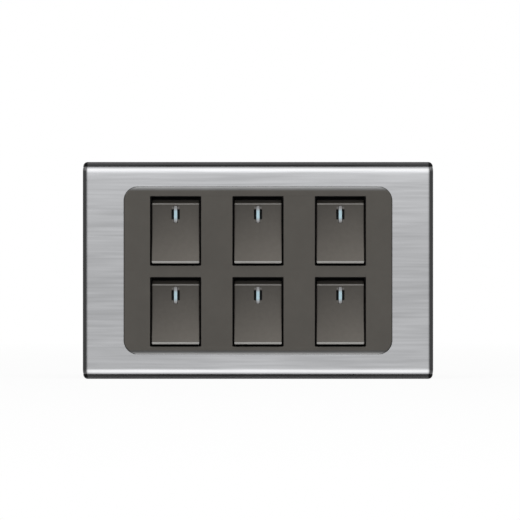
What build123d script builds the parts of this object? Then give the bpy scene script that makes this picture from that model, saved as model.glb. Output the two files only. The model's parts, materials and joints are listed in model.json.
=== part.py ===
from build123d import *

import os
from math import cos, pi, radians, sin, sqrt, tan

# Six-gang rocker switch plate. X runs along the plate, Z is up, the wall is the plane y = 0.
# The room is on the minus Y side and the wall box on the plus Y side.

# Cover outline and rim
plate_width = 120.0
plate_height = 74.5
rim_side = 1.3
rim_end = 1.55
rim_depth = 6.4
rim_edge_chamfer = 0.6
cheek_chamfer = 0.5
skirt_wall = 2.4
tray_wall = 1.6
ledge_wall = 1.2

# Metal face sheet
sheet_thickness = 0.6
sheet_skirt = 2.6
sheet_edge_r = 2.2
sheet_fit = 0.1
tab_spacing = 60.0
tab_width = 6.0
tab_reach = 2.4
tab_gap = 0.15

# Dark insert with one window per rocker
insert_width = 91.6
insert_height = 57.2
insert_corner_r = 4.7
insert_edge_r = 2.2
insert_side_chamfer = 0.3
insert_proud = 0.7
insert_thickness = 2.1
flange_lip = 1.5
flange_thickness = 1.4
insert_fit = 0.15
columns = 3
rows = 2
column_pitch = 28.2
row_pitch = 27.7
grid_drop = 0.35
window_width = 17.5
window_height = 23.8

# Wall frame and the clips that hold the cover on it
frame_thickness = 3.0
frame_gap = 0.6
frame_corner_r = 2.0
fixing_pitch = 83.5
fixing_slot_width = 4.2
fixing_slot_length = 6.2
clip_width = 6.0
clip_wall = 1.4
clip_hook = 0.6
clip_ledge = 1.3
clip_fit = 0.1
clip_notch_side = 0.3
clip_notch_depth = 1.6
clip_back_gap = 0.5

# Switch housing
cover_gap = 0.2
opening_gap = 0.6
well_gap = 0.15
well_inset = 0.15
tub_wall = 1.4
tub_side_wall = 1.575
floor_wall = 1.2
body_side_wall = 1.4
body_end_wall = 1.2
body_step = 0.7
body_end_step = 2.35
frame_fit = 0.1
hook_width = 7.0
hook_reach = 0.6
hook_length = 1.8
deck_wall = 1.5
block_wall = 2.2
clamp_recess = 2.2
core_width = 6.0
core_height = 5.2
core_depth = 5.0

# Rocker key
throw = 9.0
pivot_depth = 3.7
rocker_rise = 3.6
rocker_side_gap = 0.65
rocker_top_gap = 1.34
rocker_bottom_gap = 0.45
rocker_dish = 0.75
rocker_face_wall = 1.25
rocker_side_wall = 1.2
rocker_end_wall = 1.5
rocker_draft = 5.0
rocker_bevel_height = 1.6
rocker_bevel_depth = 1.3
rocker_top_r = 0.6
rocker_bottom_r = 0.9
rocker_side_chamfer = 0.25
rocker_stop_gap = 0.3
pin_r = 0.9
pin_length = 1.2
pin_fit = 0.05
pin_flat = 0.1
pin_slot = 1.0
cheek_margin = 0.45
hub_wall = 0.95
hub_reach = 4.5
web_wall = 1.2

# Light bar
lens_width = 1.3
lens_height = 5.7
lens_rise = 5.5
lens_shoulder = 0.3
lens_shoulder_depth = 0.8
lens_fit = 0.04
lens_recess_width = 2.8
lens_recess_height = 3.4
lens_recess_depth = 0.5

# Plunger and spring
plunger_width = 2.6
plunger_length = 4.7
plunger_fit = 0.08
nose_reach = 7.3
spring_r = 1.05
spring_wire = 0.3
spring_turns = 3
spring_sides = 8
spring_end_gap = 0.04

# See-saw contact arm
arm_ratio = 1.6
arm_thickness = 0.8
arm_width = 5.0
arm_half_length = 7.2
arm_offset = 0.13
saddle_gap = 0.07
horn_height = 0.95
horn_half = 2.5
horn_slope = 0.7
rib_r = 0.55
rib_fit = 0.05
cradle_half = 1.3
cradle_gap = 0.1
stop_gap = 0.1
stop_depth = 1.0
contact_z = 6.1
moving_contact_width = 2.2
moving_contact_height = 0.5
moving_contact_crown_r = 3.0
fixed_contact_width = 2.6
fixed_contact_height = 0.5
contact_gap = 0.06

# Brass terminals
strip_thickness = 0.8
strip_width = 4.4
strip_fit = 0.1
leg_z = 3.9
ring_width = 5.4
ring_depth = 5.4
ring_length = 4.4
wire_slot = 3.4

# Depth of each layer of the cover, from the wall towards the room
rim_front = -rim_depth
sheet_front = rim_front - sheet_skirt
sheet_back = sheet_front + sheet_thickness
insert_front = sheet_front - insert_proud
insert_back = insert_front + insert_thickness
flange_back = sheet_back + flange_thickness
ledge_back = flange_back + ledge_wall
tray_back = sheet_back + tray_wall
frame_front = -frame_thickness
housing_front = insert_back + cover_gap
floor_front = frame_front - floor_wall
pivot_y = insert_front + pivot_depth

# Outlines that follow from their neighbours
sheet_width = plate_width - 2 * rim_side
sheet_height = plate_height - 2 * rim_end
insert_edge_run = sqrt(insert_edge_r**2 - (insert_edge_r - insert_proud) ** 2)
cavity_width = plate_width - 2 * skirt_wall
cavity_height = plate_height - 2 * skirt_wall
frame_width = cavity_width - 2 * frame_gap
frame_height = cavity_height - 2 * frame_gap
flange_width = insert_width + 2 * flange_lip
flange_height = insert_height + 2 * flange_lip
rocker_width = window_width - 2 * rocker_side_gap
well_width = rocker_width + 2 * well_gap
well_height = window_height - 2 * well_inset
tub_width = well_width + 2 * tub_side_wall
tub_height = well_height + 2 * tub_wall
body_width = tub_width - 2 * body_step
body_height = tub_height - 2 * body_end_step
opening_width = (columns - 1) * column_pitch + tub_width + 2 * opening_gap
opening_height = (rows - 1) * row_pitch + tub_height + 2 * opening_gap
clip_x = column_pitch / 2
clip_inner = frame_height / 2 - clip_notch_depth + clip_fit

# Rocker and mechanism, worked out from the swing
half_throw = throw / 2
arm_swing = arm_ratio * half_throw
rocker_high = window_height / 2 - rocker_top_gap
rocker_low = window_height / 2 - rocker_bottom_gap
rocker_face_back = -rocker_rise + rocker_dish + rocker_face_wall
rocker_skirt = (
    floor_front - rocker_stop_gap - pivot_y - rocker_low * sin(radians(half_throw))
) / cos(radians(half_throw))
nose_r = plunger_width / 2
bore_width = plunger_width + 2 * plunger_fit
hub_width = bore_width + 2 * hub_wall
plunger_back = nose_reach - plunger_length
saddle_drop = nose_r + saddle_gap + arm_thickness + arm_offset
arm_y = pivot_y + nose_reach + saddle_drop
strip_back_in_arm = -arm_offset
strip_front_in_arm = -arm_offset - arm_thickness
arm_tip_reach = (
    strip_back_in_arm * cos(radians(arm_swing)) + arm_half_length * sin(radians(arm_swing))
)
crown_centre = strip_back_in_arm + moving_contact_height - moving_contact_crown_r
contact_reach = (
    crown_centre * cos(radians(arm_swing)) + contact_z * sin(radians(arm_swing)) + moving_contact_crown_r
)
fixed_contact_front = arm_y + contact_reach + contact_gap
pad_front = fixed_contact_front + fixed_contact_height
deck_front = pad_front + strip_thickness
deck_back = deck_front + deck_wall
ring_back = deck_back + ring_depth
ring_top = leg_z + ring_length
housing_back = ring_back + clamp_recess
cradle_front = (
    arm_y + strip_back_in_arm + cradle_half * tan(radians(arm_swing)) + cradle_gap
)

# Window centres, counted along the top row and then along the bottom row
places = [
    (column_pitch * (column - (columns - 1) / 2), row_pitch * ((rows - 1) / 2 - row) - grid_drop)
    for row in range(rows)
    for column in range(columns)
]


# An outline in X and Z, carried along Y from front to back
def block(outline, front, back):
    return extrude(Plane.XZ.offset(-back) * outline, amount=back - front)


# A brick centred on x = 0, from its span in depth and its span in height
def brick(width, front, back, bottom, top):
    return block(Pos(0, (bottom + top) / 2) * Rectangle(width, top - bottom), front, back)


# A side-view profile in Y and Z, carried along X
def bar(profile, width):
    return extrude(Plane.YZ * profile, amount=width / 2, both=True)


# A round rod along X
def rod(radius, width, y):
    return Pos(0, y, 0) * bar(Circle(radius), width)


def polygon(*points):
    return make_face(Polyline(*points, close=True))


def front_edges(solid):
    return solid.faces().sort_by(Axis.Y)[0].edges()


# The same piece on the top edge and on the bottom edge, left and right of the middle
def on_four_corners(piece, x):
    pair = [Pos(-x, 0, 0) * piece, Pos(x, 0, 0) * piece]
    return pair + [mirror(one, about=Plane.XY) for one in pair]


# Side view of a face that rolls back at the top and at the bottom
def rolled_face(height, front, back, radius):
    top = height / 2
    outline = polygon((front, -top), (front, top), (back, top), (back, -top))
    return fillet(outline.vertices().group_by(Axis.X)[0], radius)


# Side view of what lies behind the sheet, set in by its wall and any clearance
def sheet_inside(inset):
    return rolled_face(sheet_height - 2 * inset, sheet_back, rim_front, sheet_edge_r - inset)


# Opening behind the insert for all the housings together
def housing_opening(front, back):
    return block(Pos(0, -grid_drop) * Rectangle(opening_width, opening_height), front, back)


# Tab that goes down through the tray's edge and folds in under it
def sheet_tab():
    outside = sheet_height / 2
    inside = outside - sheet_thickness
    leg = brick(tab_width, rim_front, tray_back + sheet_thickness, inside, outside)
    fold = brick(tab_width, tray_back, tray_back + sheet_thickness, inside - tab_reach, outside)
    return leg + fold


# Way for a tab through the tray's edge, with room for its fold where the ledge comes near
def tab_slot():
    outside = sheet_height / 2
    inside = outside - sheet_thickness
    mouth = cavity_height / 2 - tab_gap
    back = tray_back + sheet_thickness + tab_gap
    width = tab_width + 2 * tab_gap
    leg = brick(width, rim_front, back, inside - tab_gap, outside + tab_gap)
    fold = brick(width, tray_back, back, mouth, outside)
    room = brick(width, tray_back, ledge_back, inside - tab_reach - tab_gap, mouth)
    return leg + fold + room


def face_sheet():
    section = rolled_face(sheet_height, sheet_front, rim_front, sheet_edge_r)
    sheet = bar(section - sheet_inside(sheet_thickness), sheet_width)
    window = RectangleRounded(
        insert_width + 2 * insert_fit, insert_height + 2 * insert_fit, insert_corner_r + insert_fit
    )
    sheet -= block(window, sheet_front, sheet_back)
    return sheet + on_four_corners(sheet_tab(), tab_spacing / 2)


# Snap finger of the cover, with its hook pointing at the frame
def cover_clip():
    hook_front = frame_front + clip_ledge + clip_fit
    finger_back = -clip_back_gap
    outer = clip_inner + clip_wall
    return bar(
        polygon(
            (tray_back, clip_inner),
            (hook_front, clip_inner),
            (hook_front, clip_inner - clip_hook),
            (finger_back, clip_inner),
            (finger_back, outer),
            (tray_back, outer),
        ),
        clip_width,
    )


# Cheek at the right-hand end, flush with the sheet and rolled back as it is
def end_cheek():
    width = rim_side - sheet_fit
    back = rim_front + rim_edge_chamfer
    cheek = bar(rolled_face(sheet_height, sheet_front, back, sheet_edge_r), width)
    outside = cheek.faces().sort_by(Axis.X)[-1]
    cheek = chamfer(outside.edges().sort_by(Axis.Y)[:-1], cheek_chamfer)
    return Pos((plate_width - width) / 2, 0, 0) * cheek


def cover_carrier():
    rim = block(RectangleRounded(plate_width, plate_height, rim_end), rim_front, 0)
    tray = chamfer(front_edges(rim), rim_edge_chamfer)
    tray += bar(sheet_inside(sheet_thickness + sheet_fit), sheet_width + 2 * sheet_fit)
    cheek = end_cheek()
    tray += [cheek, mirror(cheek, about=Plane.YZ)]
    tray -= block(Rectangle(cavity_width, cavity_height), tray_back, 0)
    ledge_lip = 2 * (insert_fit + ledge_wall)
    tray += brick(
        flange_width + ledge_lip,
        tray_back,
        ledge_back,
        -(flange_height + ledge_lip) / 2,
        (flange_height + ledge_lip) / 2,
    )
    recess = RectangleRounded(
        flange_width + 2 * insert_fit, flange_height + 2 * insert_fit, insert_corner_r + flange_lip
    )
    tray -= block(recess, sheet_back, flange_back)
    tray -= housing_opening(flange_back, ledge_back)
    tray -= on_four_corners(tab_slot(), tab_spacing / 2)
    return tray + on_four_corners(cover_clip(), clip_x)


def grid_insert():
    plate = block(
        RectangleRounded(insert_width, insert_height, insert_corner_r), insert_front, insert_back
    )
    plate = chamfer(front_edges(plate), insert_side_chamfer)
    rolled_height = insert_height + 2 * (insert_edge_r - insert_edge_run)
    plate &= bar(rolled_face(rolled_height, insert_front, flange_back, insert_edge_r), insert_width)
    flange = block(
        RectangleRounded(flange_width, flange_height, insert_corner_r + flange_lip),
        sheet_back,
        flange_back,
    )
    window = Rectangle(window_width, window_height)
    windows = [block(Pos(x, z) * window, insert_front, insert_back) for x, z in places]
    return plate + flange - housing_opening(insert_back, flange_back) - windows


def clip_notch():
    inner = frame_height / 2 - clip_notch_depth
    width = clip_width + 2 * clip_notch_side
    notch = brick(width, frame_front, 0, inner, frame_height / 2)
    pocket = brick(width, frame_front + clip_ledge, 0, inner - clip_hook - clip_fit, frame_height / 2)
    return notch + pocket


def mounting_frame():
    frame = block(RectangleRounded(frame_width, frame_height, frame_corner_r), frame_front, 0)
    aperture = Rectangle(body_width + 2 * frame_fit, body_height + 2 * frame_fit)
    frame -= [block(Pos(x, z) * aperture, frame_front, 0) for x, z in places]
    slot = SlotOverall(fixing_slot_length, fixing_slot_width)
    frame -= [block(Pos(x, 0) * slot, frame_front, 0) for x in (-fixing_pitch / 2, fixing_pitch / 2)]
    return frame - on_four_corners(clip_notch(), clip_x)


# Wedge on the side of the housing that snaps behind the frame
def housing_hook():
    side = body_width / 2
    wedge = polygon(
        (side - body_side_wall, frame_fit),
        (side + hook_reach, frame_fit),
        (side, frame_fit + hook_length),
        (side - body_side_wall, frame_fit + hook_length),
    )
    return extrude(wedge, amount=hook_width / 2, both=True)


# Pocket, wire slot and strip slot for the upper terminal
def terminal_room():
    pocket = brick(
        ring_width + 2 * strip_fit, deck_back, housing_back, leg_z - strip_fit, ring_top + strip_fit
    )
    wire_front = deck_back + (ring_depth - wire_slot) / 2
    wire = brick(wire_slot, wire_front, wire_front + wire_slot, ring_top, body_height / 2)
    leg = brick(
        strip_width + 2 * strip_fit,
        deck_front,
        deck_back,
        leg_z - strip_fit,
        leg_z + strip_thickness + strip_fit,
    )
    return pocket + wire + leg


# Round-fronted slots in the side walls that take the key's pins
def pin_socket():
    radius = pin_r + pin_fit
    slot = brick(tub_width, pivot_y, pivot_y + pin_slot, -radius, radius)
    return slot + rod(radius, tub_width, pivot_y)


def switch_housing():
    tub = block(Rectangle(tub_width, tub_height), housing_front, frame_front)
    body = block(Rectangle(body_width, body_height), frame_front, deck_back)
    block_width = ring_width + 2 * (strip_fit + block_wall)
    terminal_block = block(Rectangle(block_width, body_height), deck_back, housing_back)
    housing = tub + body + terminal_block
    housing -= block(Rectangle(well_width, well_height), housing_front, floor_front)
    room = Rectangle(body_width - 2 * body_side_wall, body_height - 2 * body_end_wall)
    housing -= block(room, floor_front, deck_front)
    housing -= pin_socket()
    housing -= terminal_room()
    housing -= mirror(terminal_room(), about=Plane.XY)
    housing -= block(Rectangle(core_width, core_height), housing_back - core_depth, housing_back)
    stop_front = arm_y + arm_tip_reach + stop_gap
    housing += brick(
        arm_width, stop_front, deck_front, -arm_half_length, stop_depth - arm_half_length
    )
    hook = housing_hook()
    return housing + hook + mirror(hook, about=Plane.YZ)


# Side view of the key about its pivot, with the dished face towards the room
def rocker_profile():
    slope = tan(radians(rocker_draft))
    face_top = rocker_high - rocker_bevel_height
    face_middle = (face_top - rocker_low) / 2
    bevel_back = -rocker_rise + rocker_bevel_depth
    top_back = rocker_high - slope * (rocker_skirt - bevel_back)
    bottom_back = -rocker_low + slope * (rocker_skirt + rocker_rise)
    face = ThreePointArc(
        (-rocker_rise, face_top), (-rocker_rise + rocker_dish, face_middle), (-rocker_rise, -rocker_low)
    )
    ends = Polyline(
        (-rocker_rise, -rocker_low),
        (rocker_skirt, bottom_back),
        (rocker_skirt, top_back),
        (bevel_back, rocker_high),
        (-rocker_rise, face_top),
    )
    profile = make_face([face, ends])
    corners = profile.vertices().group_by(Axis.X)[0].sort_by(Axis.Y)
    profile = fillet(corners[0], rocker_bottom_r)
    corner = profile.vertices().sort_by_distance((-rocker_rise, face_top))[0]
    return fillet(corner, rocker_top_r)


# The key as a solid bar, before it is hollowed
def rocker_bar():
    solid = bar(rocker_profile(), rocker_width)
    sides = solid.faces().filter_by(Axis.X)
    rim = [edge for edge in sides.edges() if edge.center().Y < rocker_face_back]
    return chamfer(rim, rocker_side_chamfer)


def rocker():
    key = rocker_bar()
    inner_width = rocker_width - 2 * rocker_side_wall
    inner_top = rocker_high - rocker_end_wall
    inner_bottom = rocker_end_wall - rocker_low
    key -= brick(inner_width, rocker_face_back, rocker_skirt, inner_bottom, inner_top)
    cheek_reach = pin_r + cheek_margin
    cheeks = brick(rocker_width, rocker_face_back, cheek_reach, -cheek_reach, cheek_reach)
    key += cheeks - brick(inner_width, rocker_face_back, cheek_reach, -cheek_reach, cheek_reach)
    pins = rod(pin_r, rocker_width + 2 * pin_length, 0)
    pins -= brick(rocker_width + 2 * pin_length, pin_flat, pin_r, -pin_r, pin_r)
    key += pins - brick(inner_width, -pin_r, pin_r, -pin_r, pin_r)
    key += brick(inner_width, rocker_face_back, pin_r, -web_wall / 2, web_wall / 2)
    key += brick(hub_width, rocker_face_back, hub_reach, -hub_width / 2, hub_width / 2)
    key -= brick(bore_width, rocker_face_back, hub_reach, -bore_width / 2, bore_width / 2)
    slot_width = lens_width + 2 * lens_fit
    slot_height = lens_height + 2 * lens_fit
    key -= block(Pos(0, lens_rise) * Rectangle(slot_width, slot_height), -rocker_rise, rocker_face_back)
    recess = Pos(0, lens_rise) * Rectangle(lens_recess_width, lens_recess_height)
    recess_back = -rocker_rise + rocker_dish + lens_recess_depth - lens_fit
    return key - block(recess, -rocker_rise, recess_back)


# Light bar cut flush with the dished face, with a shoulder behind the key's wall
def lens():
    bar_outline = Pos(0, lens_rise) * Rectangle(lens_width, lens_height)
    light = block(bar_outline, -rocker_rise, rocker_face_back) & rocker_bar()
    shoulder = Rectangle(lens_width + 2 * lens_shoulder, lens_height + 2 * lens_shoulder)
    back = rocker_face_back + lens_shoulder_depth
    return light + block(Pos(0, lens_rise) * shoulder, rocker_face_back, back)


# Square slide with a half-round nose
def plunger():
    slide = brick(plunger_width, plunger_back, nose_reach, -nose_r, nose_r)
    return slide + rod(nose_r, plunger_width, nose_reach)


# Square-wire coil between the bottom of the hub and the plunger, bent in short straight runs
def spring():
    seat = rocker_face_back + spring_end_gap + spring_wire / 2
    height = plunger_back - rocker_face_back - spring_wire - 2 * spring_end_gap
    runs = spring_turns * spring_sides
    turns = [2 * pi * run / spring_sides for run in range(runs + 1)]
    rises = [seat + height * run / runs for run in range(runs + 1)]
    coil = Polyline(*[(spring_r * cos(t), y, spring_r * sin(t)) for t, y in zip(turns, rises)])
    section = Plane(coil @ 0, z_dir=coil % 0) * Rectangle(spring_wire, spring_wire)
    return sweep(section, path=coil, transition=Transition.RIGHT)


# Centre of the plunger's nose seen from the arm, for an angle of the rocker
def nose_in_arm(angle):
    y = pivot_y + nose_reach * cos(radians(angle)) - arm_y
    z = nose_reach * sin(radians(angle))
    turn = radians(arm_ratio * angle)
    return y * cos(turn) - z * sin(turn), y * sin(turn) + z * cos(turn)


# Stamped see-saw about its rib, with a saddle that follows the plunger's nose
def contact_arm():
    middle_y, middle_z = nose_in_arm(0)
    end_y, end_z = nose_in_arm(half_throw)
    rise = middle_y - end_y
    path_r = (end_z**2 + rise**2) / (2 * rise)
    saddle_r = nose_r + path_r + saddle_gap
    horn_top = strip_front_in_arm - horn_height
    horn_foot = horn_half + horn_slope
    profile = polygon(
        (strip_back_in_arm, -arm_half_length),
        (strip_back_in_arm, arm_half_length),
        (strip_front_in_arm, arm_half_length),
        (strip_front_in_arm, horn_foot),
        (horn_top, horn_half),
        (horn_top, -horn_half),
        (strip_front_in_arm, -horn_foot),
        (strip_front_in_arm, -arm_half_length),
    )
    profile -= Pos(middle_y - path_r, 0) * Circle(saddle_r)
    return bar(profile, arm_width) + rod(rib_r, arm_width, 0)


# Crowned contact tip on the back of the arm
def moving_contact():
    tip = brick(
        moving_contact_width,
        strip_back_in_arm,
        strip_back_in_arm + moving_contact_height,
        contact_z - moving_contact_width / 2,
        contact_z + moving_contact_width / 2,
    )
    crown = rod(moving_contact_crown_r, moving_contact_width, crown_centre)
    return tip & Pos(0, 0, contact_z) * crown


def fixed_contact():
    tip = Pos(0, contact_z) * Rectangle(fixed_contact_width, fixed_contact_width)
    return block(tip, fixed_contact_front, pad_front)


# Clamp ring behind the deck, open along Z for the wire, with the leg that comes through the deck
def clamp_ring():
    ring = brick(ring_width, deck_back, ring_back, leg_z, ring_top)
    ring -= brick(
        ring_width - 2 * strip_thickness,
        deck_back + strip_thickness,
        ring_back - strip_thickness,
        leg_z,
        ring_top,
    )
    return ring + brick(strip_width, pad_front, deck_back, leg_z, leg_z + strip_thickness)


def load_terminal():
    pad_top = contact_z + fixed_contact_width / 2 + strip_fit
    return clamp_ring() + brick(strip_width, pad_front, deck_front, leg_z, pad_top)


# The lower terminal carries the cradle that the arm rocks in
def common_terminal():
    strip = brick(strip_width, pad_front, deck_front, -leg_z - strip_thickness, cradle_half)
    cradle = brick(strip_width, cradle_front, pad_front, -cradle_half, cradle_half)
    cradle -= rod(rib_r + rib_fit, strip_width, arm_y)
    return mirror(clamp_ring(), about=Plane.XY) + strip + cradle


# At rest the top of each rocker is pressed in and its contact is open
rocker_rest = Pos(0, pivot_y, 0) * Rot(-half_throw, 0, 0)
arm_rest = Pos(0, arm_y, 0) * Rot(arm_swing, 0, 0)
module_pieces = {
    "switch_housing": switch_housing(),
    "rocker": rocker_rest * rocker(),
    "lens": rocker_rest * lens(),
    "plunger": rocker_rest * plunger(),
    "spring": rocker_rest * spring(),
    "contact_arm": arm_rest * contact_arm(),
    "moving_contact": arm_rest * moving_contact(),
    "load_terminal": load_terminal(),
    "common_terminal": common_terminal(),
}
nodes = {
    "face_sheet": face_sheet(),
    "cover_carrier": cover_carrier(),
    "grid_insert": grid_insert(),
    "mounting_frame": mounting_frame(),
}
for number, (x, z) in enumerate(places, start=1):
    for name, piece in module_pieces.items():
        nodes[f"{name}_{number}"] = Pos(x, 0, z) * piece
contact_tip = fixed_contact()
nodes["fixed_contacts"] = Compound(children=[Pos(x, 0, z) * contact_tip for x, z in places])

os.makedirs("parts", exist_ok=True)
for name, solid in nodes.items():
    export_step(solid, f"parts/{name}.step")
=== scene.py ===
import json
from math import cos, pi, radians, sin

import bmesh
import bpy
from mathutils import Matrix, Vector


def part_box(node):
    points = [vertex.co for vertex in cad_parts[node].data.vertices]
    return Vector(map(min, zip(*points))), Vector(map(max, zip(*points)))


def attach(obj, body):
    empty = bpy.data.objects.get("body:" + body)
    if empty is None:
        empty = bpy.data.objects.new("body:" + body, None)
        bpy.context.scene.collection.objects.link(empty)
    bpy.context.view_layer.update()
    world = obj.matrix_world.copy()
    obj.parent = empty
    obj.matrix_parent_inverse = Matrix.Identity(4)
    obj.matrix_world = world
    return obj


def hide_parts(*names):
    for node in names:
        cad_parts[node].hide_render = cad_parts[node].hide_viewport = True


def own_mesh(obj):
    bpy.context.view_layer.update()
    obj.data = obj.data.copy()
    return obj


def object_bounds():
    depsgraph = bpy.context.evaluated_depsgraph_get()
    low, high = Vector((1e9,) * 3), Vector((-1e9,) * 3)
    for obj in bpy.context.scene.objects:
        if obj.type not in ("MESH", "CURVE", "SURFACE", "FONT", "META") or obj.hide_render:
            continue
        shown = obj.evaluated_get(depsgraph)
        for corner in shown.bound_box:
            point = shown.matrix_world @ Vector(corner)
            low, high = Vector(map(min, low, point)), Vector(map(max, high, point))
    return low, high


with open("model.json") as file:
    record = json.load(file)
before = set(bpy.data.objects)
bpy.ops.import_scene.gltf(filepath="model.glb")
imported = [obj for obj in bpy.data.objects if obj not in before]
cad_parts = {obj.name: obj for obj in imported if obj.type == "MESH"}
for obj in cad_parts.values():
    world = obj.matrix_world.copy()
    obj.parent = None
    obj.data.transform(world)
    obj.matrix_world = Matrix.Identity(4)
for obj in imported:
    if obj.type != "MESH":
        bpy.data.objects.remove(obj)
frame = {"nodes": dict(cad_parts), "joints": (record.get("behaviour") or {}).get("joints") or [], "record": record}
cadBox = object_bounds()
cadNodes = frame["nodes"]
bodyNodes = frame["record"]["behaviour"]["bodies"]
bodyOfNode = {node: body for body, names in bodyNodes.items() for node in names}
scene = bpy.context.scene
mm = 0.001
hair = 0.01 * mm  # smaller than any detail
weld = 0.0005 * mm  # points nearer than this are one point
flatSeam = radians(0.2)  # faces that meet flatter than this are one face
grainDepth = 0.02 * mm
noiseSpan = (0.3, 0.7)  # where most of the noise lies

# pivots of the six keys, by number, straight from the joints
pivots = {
    joint["name"].rsplit("_", 1)[1]: Vector(joint["pos_m"])
    for joint in frame["joints"]
    if joint["name"].startswith("rocker_tilt_")
}
restTilt = radians(-4.5)  # the tops of the keys are pressed in
print("frame loaded:", len(cadNodes), "nodes,", len(pivots), "keys")


# shader helpers
def newMaterial(name, sockets):
    material = bpy.data.materials.new(name)
    material.use_nodes = True
    tree = material.node_tree
    shader = tree.nodes["Principled BSDF"]
    for socket, value in sockets.items():
        shader.inputs[socket].default_value = value
    return material, tree, shader


def addNode(tree, kind, sockets=None, **settings):
    made = tree.nodes.new(kind)
    for key, value in settings.items():
        setattr(made, key, value)
    for socket, value in (sockets or {}).items():
        made.inputs[socket].default_value = value
    return made


def noiseField(tree, stretch, detail=3.0):
    place = addNode(tree, "ShaderNodeTexCoord")
    mapping = addNode(tree, "ShaderNodeMapping", {"Scale": stretch})
    noise = addNode(tree, "ShaderNodeTexNoise", {"Scale": 1.0, "Detail": detail})
    tree.links.new(place.outputs["Object"], mapping.inputs["Vector"])
    tree.links.new(mapping.outputs["Vector"], noise.inputs["Vector"])
    return noise.outputs[0]


def colourRamp(tree, factor, stops):
    stops = list(stops)
    ramp = addNode(tree, "ShaderNodeValToRGB")
    points = ramp.color_ramp.elements
    while len(points) < len(stops):
        points.new(0.5)
    for point, (position, colour) in zip(points, stops):
        point.position = position
        point.color = (*colour, 1.0)
    tree.links.new(factor, ramp.inputs["Fac"])
    return ramp.outputs["Color"]


def mapTo(tree, value, fromLow, fromHigh, toLow, toHigh):
    ranged = addNode(
        tree,
        "ShaderNodeMapRange",
        {"From Min": fromLow, "From Max": fromHigh, "To Min": toLow, "To Max": toHigh},
    )
    tree.links.new(value, ranged.inputs["Value"])
    return ranged.outputs["Result"]


def blended(tree, kind, first, second):
    mix = addNode(tree, "ShaderNodeMix", {0: 1.0}, data_type="RGBA", blend_type=kind)
    tree.links.new(first, mix.inputs[6])
    tree.links.new(second, mix.inputs[7])
    return mix.outputs[2]


def multiply(tree, first, second):
    return blended(tree, "MULTIPLY", first, second)


def addBump(tree, shader, height, strength, depth):
    bump = addNode(tree, "ShaderNodeBump", {"Strength": strength, "Distance": depth})
    tree.links.new(height, bump.inputs["Height"])
    tree.links.new(bump.outputs["Normal"], shader.inputs["Normal"])


def scaled(colour, share):
    return tuple(part * share for part in colour)


def placeAlong(tree, axis):
    place = addNode(tree, "ShaderNodeTexCoord")
    axes = addNode(tree, "ShaderNodeSeparateXYZ")
    tree.links.new(place.outputs["Object"], axes.inputs[0])
    return axes.outputs[axis]


def unsigned(tree, place):
    size = addNode(tree, "ShaderNodeMath", operation="ABSOLUTE")
    tree.links.new(place, size.inputs[0])
    return size.outputs[0]


def toneRamp(tree, factor, tones, tint=(1.0, 1.0, 1.0)):
    return colourRamp(tree, factor, [(share, scaled(tint, tone)) for share, tone in tones])


# painted highlight and shade: tones by the distance in from the top edge, and in the lower half from the bottom
# edge
def paintedEdgeTones(tree, height, reach, look):
    inside = reach - look["rollSpan"]
    fromTop = mapTo(tree, height, reach, inside, 0.0, 1.0)
    fromBottom = mapTo(tree, height, -reach, -inside, 0.0, 1.0)
    upper = addNode(tree, "ShaderNodeMath", {1: 0.0}, operation="GREATER_THAN")
    halves = addNode(tree, "ShaderNodeMix", data_type="RGBA")
    tree.links.new(height, upper.inputs[0])
    tree.links.new(upper.outputs[0], halves.inputs[0])
    tree.links.new(toneRamp(tree, fromBottom, look["bottomTones"]), halves.inputs[6])
    tree.links.new(toneRamp(tree, fromTop, look["topTones"]), halves.inputs[7])
    return halves.outputs[2]


# brushed face: long lines along X, with a painted highlight half way round its two rolled edges
metalLook = {
    "fineLines": (22, 22, 2400),
    "broadLines": (45, 45, 1050),
    "streak": 0.20,
    "streakSpan": (0.25, 0.75),
    "rough": (0.27, 0.38),
    "anisotropic": 0.4,
    "bump": 0.12,
    "tint": (0.965, 0.975, 1.0),
    "rollSpan": 3.2 * mm,
    # painted highlight and shade: how light it is from the sheet's edges inwards, as shares of the span
    "topTones": [(0.0, 0.26), (0.10, 0.40), (0.20, 0.68), (0.31, 0.95), (0.36, 1.0),
                 (0.50, 1.0), (0.60, 0.90), (0.70, 0.77), (0.80, 0.69), (0.95, 0.635)],
    "bottomTones": [(0.0, 0.28), (0.10, 0.42), (0.20, 0.76), (0.29, 1.0), (0.47, 1.0),
                    (0.56, 0.82), (0.66, 0.66), (0.78, 0.635)],
    # painted light: how light the brushing is from the bottom of the sheet to its top
    "riseTones": [(0.0, 1.0), (0.022, 1.0), (0.034, 0.86), (0.2, 0.82), (0.5, 0.82), (0.75, 0.87),
                  (0.93, 0.95), (0.98, 1.0)],
    # how far a painted highlight is laid over the brush lines, from both rolled edges inwards
    "polish": [(0.24, 0.0), (0.30, 0.6), (0.46, 0.6), (0.53, 0.0)],
    # painted shade: how light it is up to its two cut ends
    "endSpan": 1.0 * mm,
    "endTones": [(0.40, 1.0), (0.62, 0.72)],
}


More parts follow.
